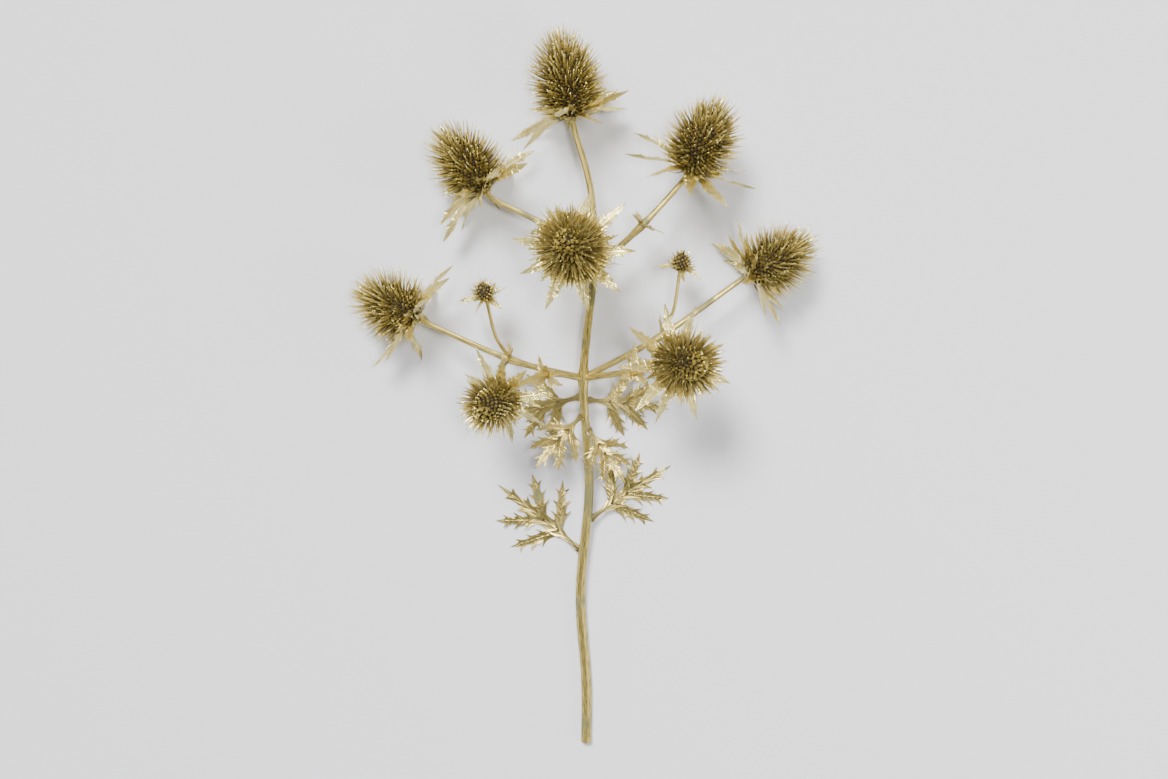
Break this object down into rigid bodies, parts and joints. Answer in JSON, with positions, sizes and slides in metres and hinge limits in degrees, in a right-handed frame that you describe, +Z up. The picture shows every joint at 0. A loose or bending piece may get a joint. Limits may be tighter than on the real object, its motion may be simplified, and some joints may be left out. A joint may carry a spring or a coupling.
{
  "type": "sea holly stem",
  "caption": "Cut dried sea holly stem, painted gold, with branching spiny cone heads over toothed ruffs and deeply cut leaves, lying flat.",
  "frame": {"origin": "on the surface that the stem lies on, under the middle of its bounding box", "axes": "+Y along the stem towards the flower heads, +Z up from the surface"},
  "size_m": [0.3254, 0.5009, 0.1326],
  "materials": {
    "gold_stem": "dried stem under satin gold spray paint, darker in the grooves",
    "gold_leaf": "dried leaf under pale gold spray paint, grey-green where the paint is thin",
    "gold_head": "dried flower head under satin gold spray paint, paler at the spine tips"
  },
  "bodies": {
    "root": {"stem": "gold_stem", "leaf_low_left": "gold_leaf", "leaf_low_right": "gold_leaf", "leaf_fork_left": "gold_leaf", "leaf_fork_right": "gold_leaf", "leaf_fork_front_left": "gold_leaf", "leaf_fork_front_right": "gold_leaf", "head_top": "gold_head", "head_left_upper": "gold_head", "head_right_upper": "gold_head", "head_left_lower": "gold_head", "head_right_lower": "gold_head", "head_front_upper": "gold_head", "head_front_right": "gold_head", "head_front_left": "gold_head", "bud_left": "gold_head", "bud_right": "gold_head"}
  },
  "joints": []
}
